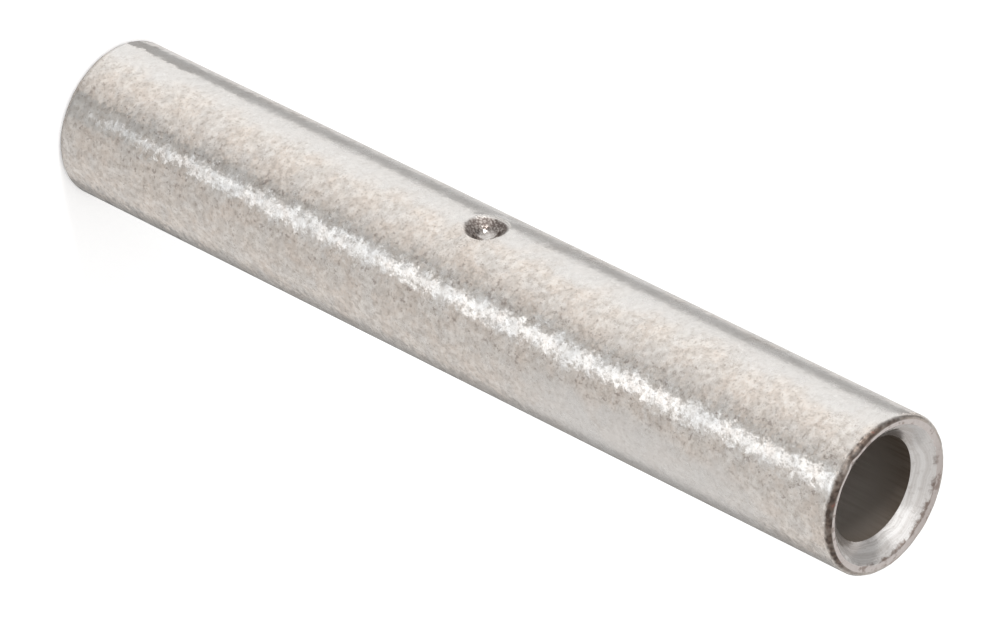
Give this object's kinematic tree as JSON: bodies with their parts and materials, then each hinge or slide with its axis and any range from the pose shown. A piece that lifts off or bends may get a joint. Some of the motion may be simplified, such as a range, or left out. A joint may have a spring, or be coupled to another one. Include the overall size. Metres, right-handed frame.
{
  "type": "butt splice connector",
  "caption": "Bare tin-plated copper sleeve that joins two wires end to end: a bore with a funnel mouth at each end and a punched dimple that stops the wires.",
  "frame": {"origin": "centre of the lower end, on the surface that the sleeve stands on", "axes": "+Z along the sleeve's axis to its upper end, -Y out of the dimple, +X to the dimple's right"},
  "size_m": [0.0066, 0.0066, 0.0413],
  "materials": {
    "tinned_copper": "satin tin plating with a fine grain over copper, copper showing brown at the end edges"
  },
  "bodies": {
    "root": {"splice_sleeve": "tinned_copper"}
  },
  "joints": []
}
